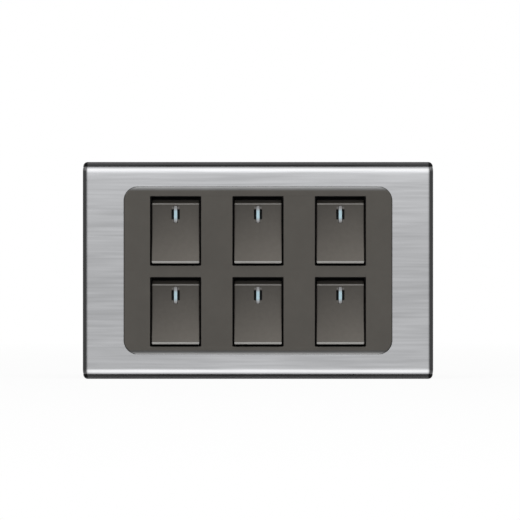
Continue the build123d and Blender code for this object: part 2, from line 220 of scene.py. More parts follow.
def brushedMetal(sheetCorner):
    look = metalLook
    end, reach = sheetCorner[0], sheetCorner[2]
    sockets = {"Metallic": 1.0, "Anisotropic": look["anisotropic"]}
    material, tree, shader = newMaterial("brushedMetal", sockets)
    fine = noiseField(tree, look["fineLines"], 4.0)
    broad = noiseField(tree, look["broadLines"], 1.0)
    height = placeAlong(tree, "Z")
    rise = toneRamp(tree, mapTo(tree, height, -reach, reach, 0.0, 1.0), look["riseTones"])
    streaks = toneRamp(tree, broad, zip(look["streakSpan"], (1 - look["streak"], 1.0)), look["tint"])
    brushedAndLit = multiply(tree, paintedEdgeTones(tree, height, reach, look), multiply(tree, rise, streaks))
    fromEdge = mapTo(tree, unsigned(tree, height), reach, reach - look["rollSpan"], 0.0, 1.0)
    # painted highlight screened over both rolled edges
    glinted = blended(tree, "SCREEN", brushedAndLit, toneRamp(tree, fromEdge, look["polish"]))
    across = unsigned(tree, placeAlong(tree, "X"))
    # painted shade towards the two cut ends
    ends = toneRamp(tree, mapTo(tree, across, end - look["endSpan"], end, 0.0, 1.0), look["endTones"])
    tree.links.new(multiply(tree, glinted, ends), shader.inputs["Base Color"])
    tree.links.new(mapTo(tree, fine, *noiseSpan, *look["rough"]), shader.inputs["Roughness"])
    along = addNode(tree, "ShaderNodeTangent", direction_type="UV_MAP", uv_map="brushLines")
    tree.links.new(along.outputs["Tangent"], shader.inputs["Tangent"])
    addBump(tree, shader, fine, look["bump"], grainDepth)
    return material


# moulded plastic with an eroded-steel grain, mottled a little in colour and gloss
plasticLook = {
    "grain": (6250, 6250, 6250),
    "clouds": (160, 160, 160),
    "shades": (0.95, 1.05),
    "roughSpread": 0.06,
}


def mouldedPlastic(name, colour, rough, grain=0.25, specular=0.5):
    look = plasticLook
    material, tree, shader = newMaterial(name, {"Specular IOR Level": specular})
    fine = noiseField(tree, look["grain"], 3.0)
    cloud = noiseField(tree, look["clouds"], 4.0)
    tone = toneRamp(tree, cloud, zip(noiseSpan, look["shades"]), colour)
    tree.links.new(tone, shader.inputs["Base Color"])
    spread = look["roughSpread"]
    gloss = mapTo(tree, fine, *noiseSpan, rough - spread, rough + spread)
    tree.links.new(gloss, shader.inputs["Roughness"])
    addBump(tree, shader, fine, grain, grainDepth)
    return material


# carrier: painted shade at its corners and ends, painted highlights where its ends roll back and along its bottom
# edge
rimPlain = 0.17  # how light it is elsewhere, as a share of the palest
rimLook = {
    "palest": (0.200, 0.200, 0.206),
    "rough": 0.42,
    # Y over which these tones fade out behind the front
    "front": (-6.2 * mm, -5.6 * mm),
    # where its ends roll back (Z, both ways), its bottom edge (Z) and its ends (X, both ways),
    # with their tones: painted highlights on the first two, painted shade on the ends
    "rollSpan": (33.7 * mm, 35.7 * mm),
    "rollTones": [(0.15, rimPlain), (0.35, 0.55), (0.75, 0.55), (0.9, rimPlain)],
    "bottomSpan": (-37.25 * mm, -36.05 * mm),
    "bottomTones": [(0.5, 1.0), (0.65, rimPlain)],
    "endSpan": (58.7 * mm, 60.0 * mm),
    "endTones": [(0.27, 1.0), (0.46, 0.5)],
    # X and Z where a corner's painted shade starts, how soon it is full, and its tone and gloss there
    "cornerFrom": (58.3 * mm, 35.3 * mm),
    "cornerBy": 0.4 * mm,
    "cornerTones": (1.0, 0.25),
    "cornerGloss": (0.42, 0.05),
}


def rimPlastic():
    look = rimLook
    material = mouldedPlastic("rimPlastic", look["palest"], look["rough"])
    tree = material.node_tree
    shader = tree.nodes["Principled BSDF"]
    base = shader.inputs["Base Color"]
    height = placeAlong(tree, "Z")
    across, away = unsigned(tree, placeAlong(tree, "X")), unsigned(tree, height)
    roll = toneRamp(tree, mapTo(tree, away, *look["rollSpan"], 0.0, 1.0), look["rollTones"])
    bottom = toneRamp(tree, mapTo(tree, height, *look["bottomSpan"], 0.0, 1.0), look["bottomTones"])
    ends = toneRamp(tree, mapTo(tree, across, *look["endSpan"], 0.0, 1.0), look["endTones"])
    corner = addNode(tree, "ShaderNodeMath", operation="MULTIPLY")
    for socket, place, start in zip(corner.inputs, (across, away), look["cornerFrom"]):
        tree.links.new(mapTo(tree, place, start, start + look["cornerBy"], 0.0, 1.0), socket)
    # painted shade at the corners
    corners = mapTo(tree, corner.outputs[0], 0.0, 1.0, *look["cornerTones"])
    gloss = mapTo(tree, corner.outputs[0], 0.0, 1.0, *look["cornerGloss"])
    tree.links.new(gloss, shader.inputs["Specular IOR Level"])
    # painted highlights and painted shade on the carrier's front
    paintedLight = multiply(tree, blended(tree, "LIGHTEN", roll, bottom), multiply(tree, ends, corners))
    front = addNode(tree, "ShaderNodeMix", {6: (rimPlain, rimPlain, rimPlain, 1.0)}, data_type="RGBA")
    tree.links.new(mapTo(tree, placeAlong(tree, "Y"), *look["front"], 1.0, 0.0), front.inputs[0])
    tree.links.new(paintedLight, front.inputs[7])
    tree.links.new(multiply(tree, base.links[0].from_socket, front.outputs[2]), base)
    return material


# sheet metal as stamped, with a faint tarnish in clouds and fine scratches along X
stampedLook = {
    "clouds": (420, 420, 420),
    "tarnishSpan": (0.35, 0.62),
    "tarnishRough": 0.15,
    "scratches": (900, 5200, 5200),
    "bump": 0.1,
    "scratchDepth": 0.01 * mm,
}


def stampedMetal(name, colour, tarnish, rough):
    look = stampedLook
    material, tree, shader = newMaterial(name, {"Metallic": 1.0})
    cloud = noiseField(tree, look["clouds"], 5.0)
    scratch = noiseField(tree, look["scratches"], 3.0)
    tone = colourRamp(tree, cloud, zip(look["tarnishSpan"], (tarnish, colour)))
    tree.links.new(tone, shader.inputs["Base Color"])
    gloss = mapTo(tree, cloud, *noiseSpan, rough + look["tarnishRough"], rough)
    tree.links.new(gloss, shader.inputs["Roughness"])
    addBump(tree, shader, scratch, look["bump"], look["scratchDepth"])
    return material


# the insert has painted highlights where its face rolls off at the top and the bottom
insertLook = {
    "specular": 0.2,
    "grain": (6200, 6200, 6200),
    "clouds": (160, 160, 160),
    "shades": (0.92, 1.0),
    "rough": (0.49, 0.61),
    "bump": 0.25,
    "rollSpan": 1.8 * mm,
    # painted highlight: how light it is from its edge inwards, as shares of the span, and its tint: grey where the
    # painted highlight lies
    "topTones": [(0.0, 0.40), (0.1, 0.22), (0.3, 0.178), (0.5, 0.121), (0.7, 0.091)],
    "bottomTones": [(0.0, 0.75), (0.1, 0.52), (0.28, 0.25), (0.46, 0.132), (0.65, 0.105), (1.0, 0.093)],
    "tints": [(0.5, (0.95, 0.95, 0.95)), (0.8, (1.0, 0.93, 0.83))],
}


def insertPlastic(reach):
    look = insertLook
    material, tree, shader = newMaterial("insertPlastic", {"Specular IOR Level": look["specular"]})
    fine = noiseField(tree, look["grain"], 3.0)
    cloud = noiseField(tree, look["clouds"], 4.0)
    height = placeAlong(tree, "Z")
    fromEdge = mapTo(tree, unsigned(tree, height), reach, reach - look["rollSpan"], 0.0, 1.0)
    face = multiply(
        tree, paintedEdgeTones(tree, height, reach, look), colourRamp(tree, fromEdge, look["tints"])
    )
    shades = toneRamp(tree, cloud, zip(noiseSpan, look["shades"]))
    tree.links.new(multiply(tree, face, shades), shader.inputs["Base Color"])
    tree.links.new(mapTo(tree, fine, *noiseSpan, *look["rough"]), shader.inputs["Roughness"])
    addBump(tree, shader, fine, look["bump"], grainDepth)
    return material


# keys: satin, with painted light making them paler towards the lower end
keyLook = {
    "specular": 0.2,
    "grain": (6200, 6200, 6200),
    "clouds": (700, 700, 700),
    "shades": (0.93, 1.0),
    "rough": (0.36, 0.48),
    "bump": 0.15,
    "tint": (1.0, 0.92, 0.82),
    # painted light: how light it is from its lower end up, and from its left side to its right
    "tones": [(0.0, 0.124), (0.5, 0.101), (1.0, 0.081)],
    "sideTones": [(0.0, 0.84), (0.75, 1.0)],
    # painted highlight on the plastic beside the light bar's two ends
    "shine": (0.15, 0.15, 0.15),
    "shineAlong": [(0.69, 0.0), (0.71, 0.3), (0.73, 0.0), (0.91, 0.0), (0.935, 1.0), (0.965, 0.0)],
    "shineAcross": [(0.41, 0.0), (0.465, 1.0), (0.535, 1.0), (0.59, 0.0)],
}


def keyPlastic():
    look = keyLook
    material, tree, shader = newMaterial("rockerPlastic", {"Specular IOR Level": look["specular"]})
    fine = noiseField(tree, look["grain"], 3.0)
    cloud = noiseField(tree, look["clouds"], 4.0)
    along = addNode(tree, "ShaderNodeAttribute", attribute_name="alongKey")
    across = addNode(tree, "ShaderNodeAttribute", attribute_name="acrossKey")
    # painted light along and across the key
    face = multiply(
        tree,
        toneRamp(tree, along.outputs["Fac"], look["tones"], look["tint"]),
        toneRamp(tree, across.outputs["Fac"], look["sideTones"]),
    )
    shine = multiply(
        tree,
        toneRamp(tree, along.outputs["Fac"], look["shineAlong"], look["shine"]),
        toneRamp(tree, across.outputs["Fac"], look["shineAcross"]),
    )
    shades = toneRamp(tree, cloud, zip(noiseSpan, look["shades"]))
    lit = blended(tree, "ADD", multiply(tree, face, shades), shine)
    tree.links.new(lit, shader.inputs["Base Color"])
    tree.links.new(mapTo(tree, fine, *noiseSpan, *look["rough"]), shader.inputs["Roughness"])
    addBump(tree, shader, fine, look["bump"], grainDepth)
    return material


# light bar: milky blue, greyer towards its two ends, with painted shade along its two long edges
lensCore, lensEnd, lensTip = (0.46, 0.643, 0.72), (0.345, 0.36, 0.375), (0.24, 0.235, 0.235)
lensLook = {
    "along": [(0.13, lensTip), (0.20, lensEnd), (0.36, lensCore), (0.675, lensCore), (0.80, lensEnd),
              (0.93, lensTip)],
    # painted shade along the bar's two long edges
    "across": [(0.09, 0.1), (0.12, 1.0), (0.88, 1.0), (0.91, 0.1)],
    "clouds": (900, 900, 900),
    "shades": (0.93, 1.0),
    "bump": 0.04,
    "sockets": {"Roughness": 0.22, "Coat Weight": 0.3, "Coat Roughness": 0.12},
}


def lensPlastic():
    look = lensLook
    material, tree, shader = newMaterial("lensPlastic", look["sockets"])
    along = addNode(tree, "ShaderNodeAttribute", attribute_name="alongBar")
    across = addNode(tree, "ShaderNodeAttribute", attribute_name="acrossBar")
    cloud = noiseField(tree, look["clouds"], 3.0)
    tint = multiply(
        tree,
        colourRamp(tree, along.outputs["Fac"], look["along"]),
        toneRamp(tree, across.outputs["Fac"], look["across"]),
    )
    shades = toneRamp(tree, cloud, zip(noiseSpan, look["shades"]))
    tree.links.new(multiply(tree, tint, shades), shader.inputs["Base Color"])
    addBump(tree, shader, cloud, look["bump"], grainDepth)
    return material


insertReach = 28.6 * mm  # half the height of the insert's raised face
finishes = {
    "brushed_metal": brushedMetal(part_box("face_sheet")[1]),
    "black_plastic": mouldedPlastic("blackPlastic", (0.034, 0.034, 0.035), 0.42, specular=0.42),
    "insert_plastic": insertPlastic(insertReach),
    "rocker_plastic": keyPlastic(),
    "lens_plastic": lensPlastic(),
    "housing_plastic": mouldedPlastic("housingPlastic", (0.030, 0.030, 0.032), 0.5, specular=0.35),
    "plunger_plastic": mouldedPlastic("plungerPlastic", (0.72, 0.70, 0.65), 0.32, grain=0.08),
    "spring_steel": stampedMetal("springSteel", (0.56, 0.56, 0.55), (0.42, 0.42, 0.42), 0.22),
    "arm_copper": stampedMetal("armCopper", (0.72, 0.38, 0.22), (0.50, 0.27, 0.17), 0.28),
    "contact_silver": stampedMetal("contactSilver", (0.80, 0.79, 0.76), (0.62, 0.60, 0.56), 0.25),
    "terminal_brass": stampedMetal("terminalBrass", (0.72, 0.53, 0.24), (0.55, 0.39, 0.17), 0.30),
}
# near-white metal for the painted highlight on the window's slanted edge
cutMetal = stampedMetal("cutMetal", (0.98, 0.985, 1.0), (0.94, 0.945, 0.96), 0.2)
carrierPlastic = rimPlastic()
# near-black painted shade for the wells the keys sit in
wellPlastic = mouldedPlastic("wellPlastic", (0.007, 0.007, 0.007), 0.6, specular=0.1)
# near-black painted shade for the recess beside the light bar
smokedPlastic = mouldedPlastic("smokedPlastic", (0.004, 0.006, 0.006), 0.3, grain=0.05, specular=0.1)
# painted highlights on the keys' lower and upper edges
rubbedPlastic = mouldedPlastic("rubbedPlastic", (0.47, 0.46, 0.44), 0.3, grain=0.05)
wornPlastic = mouldedPlastic("wornPlastic", (0.234, 0.226, 0.213), 0.35, grain=0.08)
print("finishes made:", len(bpy.data.materials))


# mesh helpers
def within(value, span):
    return span[0] < value < span[1]


def finishPiece(bm, name, finish, body, replaced=(), sharpAngle=35):
    mesh = bpy.data.meshes.new(name)
    bm.to_mesh(mesh)
    bm.free()
    mesh.shade_smooth()
    mesh.set_sharp_from_angle(angle=radians(sharpAngle))
    mesh.materials.append(finishes[finish])
    piece = bpy.data.objects.new(name, mesh)
    scene.collection.objects.link(piece)
    flatFaces = piece.modifiers.new("flatFaces", "WEIGHTED_NORMAL")
    flatFaces.keep_sharp = True
    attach(piece, body)
    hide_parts(*replaced)
    return piece


# closed loop of edges: a rectangle in X and Z with its corners rounded
def roundedLoop(bm, width, height, radius, y, at=(0.0, 0.0), steps=10):
    earlier = set(bm.faces)
    place = Matrix.Translation((at[0], y, at[1])) @ Matrix.Rotation(radians(90), 4, "X")
    size = Matrix.Diagonal((width, height, 1.0, 1.0))
    quad = bmesh.ops.create_grid(bm, x_segments=1, y_segments=1, size=0.5, matrix=place @ size)
    if radius:
        bmesh.ops.bevel(
            bm,
            geom=quad["verts"],
            offset=radius,
            affect="VERTICES",
            segments=steps,
            profile=0.5,
            material=-1,
        )
    face = next(f for f in bm.faces if f not in earlier)
    edges = list(face.edges)
    bmesh.ops.delete(bm, geom=[face], context="FACES_ONLY")
    return edges


# walls through a row of loops; gives back the first and the last loop
def ringWalls(bm, rings, at=(0.0, 0.0)):
    loops = [roundedLoop(bm, *ring, at=at) for ring in rings]
    for first, second in zip(loops, loops[1:]):
        bmesh.ops.bridge_loops(bm, edges=first + second)
    return loops[0], loops[-1]


# rings of a rounded edge that turns from the side wall (at its start) to the face
def edgeRound(width, height, corner, faceY, radius, steps, inwards=1):
    rings = []
    for step in range(steps + 1):
        turn = pi / 2 * step / steps
        inset = inwards * radius * (1 - cos(turn))
        y = faceY + radius * (1 - sin(turn))
        rings.append((width - 2 * inset, height - 2 * inset, corner - inset, y))
    return rings


def fillFlat(bm, *loops):
    edges = [edge for loop in loops for edge in loop]
    bmesh.ops.triangle_fill(bm, use_beauty=True, edges=edges, normal=(0, -1, 0))


def closeShell(bm):
    bmesh.ops.remove_doubles(bm, verts=bm.verts, dist=weld)
    bmesh.ops.recalc_face_normals(bm, faces=bm.faces)


# a CAD node's own form, with doubled points and flat seams merged
def mergedCopy(name):
    bm = bmesh.new()
    bm.from_mesh(cadNodes[name].data)
    bmesh.ops.remove_doubles(bm, verts=bm.verts, dist=weld)
    bmesh.ops.dissolve_limit(bm, angle_limit=flatSeam, verts=bm.verts, edges=bm.edges)
    return bm


# sharp edges rounded as tooling leaves them
def soften(bm, width, segments=2, fromAngle=35):
    sharp = [
        edge
        for edge in bm.edges
        if len(edge.link_faces) == 2 and edge.calc_face_angle(0) > radians(fromAngle)
    ]
    bmesh.ops.bevel(
        bm,
        geom=sharp,
        offset=width,
        affect="EDGES",
        segments=segments,
        profile=0.5,
        material=-1,
        clamp_overlap=False,
    )


# metal face sheet: one window, rolled back at the top and the bottom, folded tabs behind
sheetSizes = {
    "rimFront": -6.4 * mm,
    "roll": 2.2 * mm,
    "rollSteps": 14,
    "thickness": 0.6 * mm,
    "window": (91.9 * mm, 57.5 * mm, 4.85 * mm),
    "cutEdge": 0.08 * mm,
    "slant": (-0.99, -0.2),
}


def rollBack(bm, side, flatTop, front):
    roll = sheetSizes["roll"]
    edge = next(e for e in bm.edges if all(abs(v.co.z - side * flatTop) < hair for v in e.verts))
    turned = bmesh.ops.spin(
        bm,
        geom=[edge, *edge.verts],
        cent=(0, front + roll, side * flatTop),
        axis=(-side, 0, 0),
        angle=pi / 2,
        steps=sheetSizes["rollSteps"],
    )
    last = [item for item in turned["geom_last"] if isinstance(item, bmesh.types.BMEdge)]
    skirt = bmesh.ops.extrude_edge_only(bm, edges=last)
    verts = [item for item in skirt["geom"] if isinstance(item, bmesh.types.BMVert)]
    bmesh.ops.translate(bm, vec=(0, sheetSizes["rimFront"] - front - roll, 0), verts=verts)


# the window's slanted edge gets a painted highlight along the top and the bottom
def windowGlint(spot, normal):
    width, height, _ = sheetSizes["window"]
    atEdge = abs(spot.x) < width / 2 and abs(abs(spot.z) - height / 2) < sheetSizes["cutEdge"]
    return atEdge and within(normal.y, sheetSizes["slant"])


def buildFaceSheet():
    sizes = sheetSizes
    low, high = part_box("face_sheet")
    front, flatTop = low[1], high[2] - sizes["roll"]
    bm = bmesh.new()
    outline = roundedLoop(bm, high[0] - low[0], 2 * flatTop, 0, front)
    fillFlat(bm, outline, roundedLoop(bm, *sizes["window"], front))
    rollBack(bm, 1, flatTop, front)
    rollBack(bm, -1, flatTop, front)
    closeShell(bm)
    bmesh.ops.solidify(bm, geom=bm.faces[:], thickness=sizes["thickness"])
    soften(bm, sizes["cutEdge"], fromAngle=60)
    for face in bm.faces:
        face.material_index = int(windowGlint(face.calc_center_median(), face.normal))
    addTabs(bm)
    lines = bm.loops.layers.uv.new("brushLines")
    for face in bm.faces:
        for loop in face.loops:
            spot = loop.vert.co
            loop[lines].uv = (spot.x, spot.z + (spot.y - front if spot.z > 0 else front - spot.y))
    piece = finishPiece(bm, "faceSheet", "brushed_metal", "plate", ["face_sheet"])
    piece.data.materials.append(cutMetal)
    return piece


# the four folded tabs are the CAD sheet's own, cut off behind its skirt
def addTabs(bm):
    tabs = mergedCopy("face_sheet")
    geometry = list(tabs.verts) + list(tabs.edges) + list(tabs.faces)
    bmesh.ops.bisect_plane(
        tabs,
        geom=geometry,
        plane_co=(0, sheetSizes["rimFront"] + hair, 0),
        plane_no=(0, 1, 0),
        clear_inner=True,
    )
    bmesh.ops.holes_fill(tabs, edges=[edge for edge in tabs.edges if edge.is_boundary])
    spare = bpy.data.meshes.new("spareTabs")
    tabs.to_mesh(spare)
    tabs.free()
    bm.from_mesh(spare)
    bpy.data.meshes.remove(spare)


# dark insert: face rolled off at the top and the bottom, six windows, a flange behind the sheet
insertSizes = {
    "width": 91.6 * mm,
    "corner": 4.7 * mm,
    "sideEdge": 0.3 * mm,
    "proud": 0.7 * mm,
    "roll": 2.2 * mm,
    "rollSteps": 10,
    "thickness": 2.1 * mm,
    "flangeFront": -8.4 * mm,
    "flangeLip": 1.5 * mm,
    "window": (17.5 * mm, 23.8 * mm, 0.3 * mm),
    "windowRound": 0.18 * mm,
    "edgeSteps": 4,
    "opening": (77.25 * mm, 55.2 * mm, 0.3 * mm),
}


def rollOff(bm, front):
    roll = insertSizes["roll"]
    run = (roll**2 - (roll - insertSizes["proud"]) ** 2) ** 0.5
    flatTop = insertReach - run
    for step in range(insertSizes["rollSteps"]):
        for side in (-1, 1):
            bmesh.ops.bisect_plane(
                bm,
                geom=bm.verts[:] + bm.edges[:] + bm.faces[:],
                plane_co=(0, 0, side * (flatTop + run * step / insertSizes["rollSteps"])),
                plane_no=(0, 0, 1),
            )
    for vert in bm.verts:
        past = min(max(abs(vert.co.z) - flatTop, 0), run)
        vert.co.y = max(vert.co.y, front + roll - (roll**2 - past**2) ** 0.5)


def buildInsert():
    sizes = insertSizes
    low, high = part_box("grid_insert")
    front, flangeBack = low[1], high[1]
    back = front + sizes["thickness"]
    outline = (sizes["width"], 2 * insertReach, sizes["corner"])
    lip = sizes["flangeLip"]
    flange = (outline[0] + 2 * lip, outline[1] + 2 * lip, outline[2] + lip)
    bm = bmesh.new()
    rings = [(*flange, flangeBack), (*flange, sizes["flangeFront"]), (*outline, sizes["flangeFront"])]
    rings += edgeRound(*outline, front, sizes["sideEdge"], sizes["edgeSteps"])
    flangeLoop, faceLoop = ringWalls(bm, rings)
    gridMiddle = (0, sum(pivot.z for pivot in pivots.values()) / len(pivots))
    opening = [(*sizes["opening"], flangeBack), (*sizes["opening"], back)]
    openLoop, floorLoop = ringWalls(bm, opening, at=gridMiddle)
    faceLoops, floorLoops = [faceLoop], [floorLoop]
    for pivot in pivots.values():
        lips = edgeRound(*sizes["window"], front, sizes["windowRound"], sizes["edgeSteps"], inwards=-1)
        lips.insert(0, (*sizes["window"], back))
        windowBack, windowFront = ringWalls(bm, lips, at=(pivot.x, pivot.z))
        floorLoops.append(windowBack)
        faceLoops.append(windowFront)
    fillFlat(bm, *faceLoops)
    fillFlat(bm, *floorLoops)
    fillFlat(bm, flangeLoop, openLoop)
    closeShell(bm)
    rollOff(bm, front)
    return finishPiece(bm, "gridInsert", "insert_plastic", "plate", ["grid_insert"])


# keys: the CAD form with softened edges; the recess beside the light bar is painted near-black as shade, the
# face's ends carry painted highlights
keySizes = {
    "soft": 0.07 * mm,
    "width": 16.2 * mm,
    "span": (-11.0 * mm, 9.0 * mm),
    "recess": (2.9 * mm, 3.5 * mm),
    "recessRise": 5.5 * mm,
    "recessDepth": (-3.3 * mm, -2.2 * mm),
    "floor": -2.5 * mm,
    # Y of a face's normal: above the first it is a wall of the recess, above the second no front face
    "wallFacing": -0.5,
    "frontFacing": -0.2,
    "lowEdge": -10.4 * mm,
    "highEdge": (8.2 * mm, 9.5 * mm),
    "edgeFront": -2.6 * mm,
    # how far the lower edge and the upper edge with painted highlights lean, as the Z of their normals
    "lowLean": (-0.95, -0.2),
    "highLean": (0.12, 0.6),
}


def keyPlace(number):
    return Matrix.Translation(pivots[number]) @ Matrix.Rotation(restTilt, 4, "X")


def inRecess(spot, normal):
    sizes = keySizes
    across = abs(spot.x) < sizes["recess"][0] / 2
    along = abs(spot.z - sizes["recessRise"]) < sizes["recess"][1] / 2
    deep = within(spot.y, sizes["recessDepth"])
    return across and along and deep and (normal.y > sizes["wallFacing"] or spot.y > sizes["floor"])


# which of the key's four materials a face takes: plain, painted shade in the recess, or a painted highlight on the
# lower or the upper edge
def keyFinish(spot, normal):
    sizes = keySizes
    if inRecess(spot, normal):
        return 1
    if spot.y > sizes["edgeFront"] or normal.y > sizes["frontFacing"]:
        return 0
    if spot.z < sizes["lowEdge"] and within(normal.z, sizes["lowLean"]):
        return 2
    return 3 if within(spot.z, sizes["highEdge"]) and within(normal.z, sizes["highLean"]) else 0


def buildKey(number):
    name = f"rocker_{number}"
    bm = mergedCopy(name)
    soften(bm, keySizes["soft"])
    intoKey = keyPlace(number).inverted()
    for face in bm.faces:
        spot, normal = intoKey @ face.calc_center_median(), intoKey.to_3x3() @ face.normal
        face.material_index = keyFinish(spot, normal)
    low, high = keySizes["span"]
    along = bm.verts.layers.float.new("alongKey")
    across = bm.verts.layers.float.new("acrossKey")
    for vert in bm.verts:
        spot = intoKey @ vert.co
        vert[along] = min(max((spot.z - low) / (high - low), 0.0), 1.0)
        vert[across] = spot.x / keySizes["width"] + 0.5
    piece = finishPiece(bm, f"rockerKey_{number}", "rocker_plastic", name, [name])
    piece.data.materials.append(smokedPlastic)
    piece.data.materials.append(rubbedPlastic)
    piece.data.materials.append(wornPlastic)
    return piece


# light bar: the CAD bar with round ends, and how far along and across it each point lies
lensSizes = {
    "endRound": 0.5 * mm,
    "endSteps": 6,
    "soft": 0.09 * mm,
    "width": 1.3 * mm,
    # its upright edges run front to back, at least this straight and this long
    "straight": 0.98,
    "uprightLength": 0.5 * mm,
}


def buildLens(number):
    name = f"lens_{number}"
    bm = mergedCopy(name)
    outward = keyPlace(number).to_3x3() @ Vector((0, 1, 0))
    corners = []
    for edge in bm.edges:
        run = edge.verts[1].co - edge.verts[0].co
        straight = abs(run.normalized().dot(outward)) > lensSizes["straight"]
        if straight and run.length > lensSizes["uprightLength"]:
            corners.append(edge)
    bmesh.ops.bevel(
        bm,
        geom=corners,
        offset=lensSizes["endRound"],
        affect="EDGES",
        segments=lensSizes["endSteps"],
        profile=0.5,
        material=-1,
        clamp_overlap=False,
    )
    soften(bm, lensSizes["soft"], segments=3)
    heights = [vert.co.z for vert in bm.verts]
    lowest, highest = min(heights), max(heights)
    along = bm.verts.layers.float.new("alongBar")
    across = bm.verts.layers.float.new("acrossBar")
    for vert in bm.verts:
        vert[along] = (vert.co.z - lowest) / (highest - lowest)
        vert[across] = (vert.co.x - pivots[number].x) / lensSizes["width"] + 0.5
    return finishPiece(bm, f"lightBar_{number}", "lens_plastic", f"rocker_{number}", [name])


# coil spring of round wire between the key and its plunger
springSizes = {
    "radius": 1.05 * mm,
    "wire": 0.15 * mm,
    "wireSides": 10,
    "from": -1.41 * mm,
    "to": 2.41 * mm,
    "turns": 3,
    "stepsPerTurn": 32,
    "travel": 0.6 * mm,
}


def buildSpring(number):
    sizes = springSizes
    steps = sizes["turns"] * sizes["stepsPerTurn"]
    height = sizes["to"] - sizes["from"]
    bm = bmesh.new()
    section = Matrix.Translation((sizes["radius"], sizes["from"], 0))
    wire = bmesh.ops.create_circle(bm, radius=sizes["wire"], segments=sizes["wireSides"], matrix=section)
    loop = list({edge for vert in wire["verts"] for edge in vert.link_edges})
    bmesh.ops.spin(
        bm,
        geom=wire["verts"] + loop,
        cent=(0, 0, 0),
        axis=(0, 1, 0),
        dvec=(0, height / steps, 0),
        angle=sizes["turns"] * 2 * pi,
        steps=steps,
        use_merge=False,
    )
    bmesh.ops.holes_fill(bm, edges=[edge for edge in bm.edges if edge.is_boundary])
    bmesh.ops.recalc_face_normals(bm, faces=bm.faces)
    bmesh.ops.transform(bm, matrix=keyPlace(number), verts=bm.verts)
    name = f"coilSpring_{number}"
    piece = finishPiece(bm, name, "spring_steel", f"rocker_{number}", [f"spring_{number}"])
    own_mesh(piece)
    return piece


# clamp screws, driven from the back of the terminal blocks
screwSizes = {
    "headRadius": 2.0 * mm,
    "headHeight": 1.3 * mm,
    "rimRound": 0.22 * mm,
    "rimSteps": 4,
    "slot": 0.6 * mm,
    "slotDepth": 0.65 * mm,
    "shankRadius": 1.4 * mm,
    "shankSides": 32,
    "shankLength": 3.2 * mm,
    "ring": 4.4 * mm,  # common terminal's ring that its screw sits in
    "slotTurn": 37,  # degrees from one screw to the next
}


def pushFaces(bm, faces, along):
    pushed = bmesh.ops.extrude_face_region(bm, geom=faces)
    verts = [item for item in pushed["geom"] if isinstance(item, bmesh.types.BMVert)]
    bmesh.ops.translate(bm, vec=along, verts=verts)
    bmesh.ops.delete(bm, geom=[face for face in faces if face.is_valid], context="FACES_ONLY")
    return [item for item in pushed["geom"] if isinstance(item, bmesh.types.BMFace)]


def screwMesh():
    sizes = screwSizes
    bm = bmesh.new()
    facingBack = Matrix.Rotation(radians(-90), 4, "X")
    bmesh.ops.create_circle(
        bm,
        cap_ends=True,
        radius=sizes["shankRadius"],
        segments=sizes["shankSides"],
        matrix=facingBack,
    )
    shankTop = pushFaces(bm, list(bm.faces), (0, sizes["shankLength"], 0))
    flare = bmesh.ops.extrude_face_region(bm, geom=shankTop)
    seat = [item for item in flare["geom"] if isinstance(item, bmesh.types.BMVert)]
    share = sizes["headRadius"] / sizes["shankRadius"]
    bmesh.ops.scale(bm, vec=(share, 1, share), verts=seat)
    bmesh.ops.delete(bm, geom=[face for face in shankTop if face.is_valid], context="FACES_ONLY")
    seatFaces = [item for item in flare["geom"] if isinstance(item, bmesh.types.BMFace)]
    top = pushFaces(bm, seatFaces, (0, sizes["headHeight"], 0))
    rim = [edge for face in top for edge in face.edges]
    bmesh.ops.bevel(
        bm,
        geom=rim,
        offset=sizes["rimRound"],
        affect="EDGES",
        segments=sizes["rimSteps"],
        profile=0.5,
        material=-1,
    )
    headTop = sizes["shankLength"] + sizes["headHeight"]
    for side in (-1, 1):
        flat = [face for face in bm.faces if face.calc_center_median().y > headTop - hair]
        edges = {edge for face in flat for edge in face.edges}
        verts = {vert for face in flat for vert in face.verts}
        bmesh.ops.bisect_plane(
            bm,
            geom=flat + list(edges) + list(verts),
            plane_co=(0, 0, side * sizes["slot"] / 2),
            plane_no=(0, 0, 1),
        )
    slot = [
        face
        for face in bm.faces
        if face.calc_center_median().y > headTop - hair
        and abs(face.calc_center_median().z) < sizes["slot"] / 2
    ]
    pushFaces(bm, slot, (0, -sizes["slotDepth"], 0))
    bmesh.ops.recalc_face_normals(bm, faces=bm.faces)
    return bm


def buildScrew(name, x, z, seatY, turn):
    bm = screwMesh()
    place = Matrix.Translation((x, seatY - screwSizes["shankLength"], z))
    bmesh.ops.transform(bm, matrix=place @ Matrix.Rotation(turn, 4, "Y"), verts=bm.verts)
    return finishPiece(bm, name, "terminal_brass", "plate", sharpAngle=40)


# housings: the well that the key sits in is matt and painted near-black as shade, the back is satin
housingSizes = {"soft": 0.10 * mm, "wellBack": -3.05 * mm}


def buildHousing(number):
    name = f"switch_housing_{number}"
    bm = mergedCopy(name)
    soften(bm, housingSizes["soft"])
    for face in bm.faces:
        face.material_index = int(face.calc_center_median().y < housingSizes["wellBack"])
    piece = finishPiece(bm, f"switchHousing_{number}", "housing_plastic", "plate", [name])
    piece.data.materials.append(wellPlastic)
    return piece


# every other CAD node keeps its form, with edges as a mould or a die leaves them
softEdges = {
    "cover_carrier": 0.16 * mm,
    "mounting_frame": 0.12 * mm,
    "fixed_contacts": 0.06 * mm,
    "plunger": 0.08 * mm,
    "contact_arm": 0.05 * mm,
    "moving_contact": 0.05 * mm,
    "load_terminal": 0.06 * mm,
    "common_terminal": 0.06 * mm,
}
finishOfNode = {
    "cover_carrier": "black_plastic",
    "mounting_frame": "black_plastic",
    "fixed_contacts": "contact_silver",
    "plunger": "plunger_plastic",
    "contact_arm": "arm_copper",
    "moving_contact": "contact_silver",
    "load_terminal": "terminal_brass",
    "common_terminal": "terminal_brass",
}


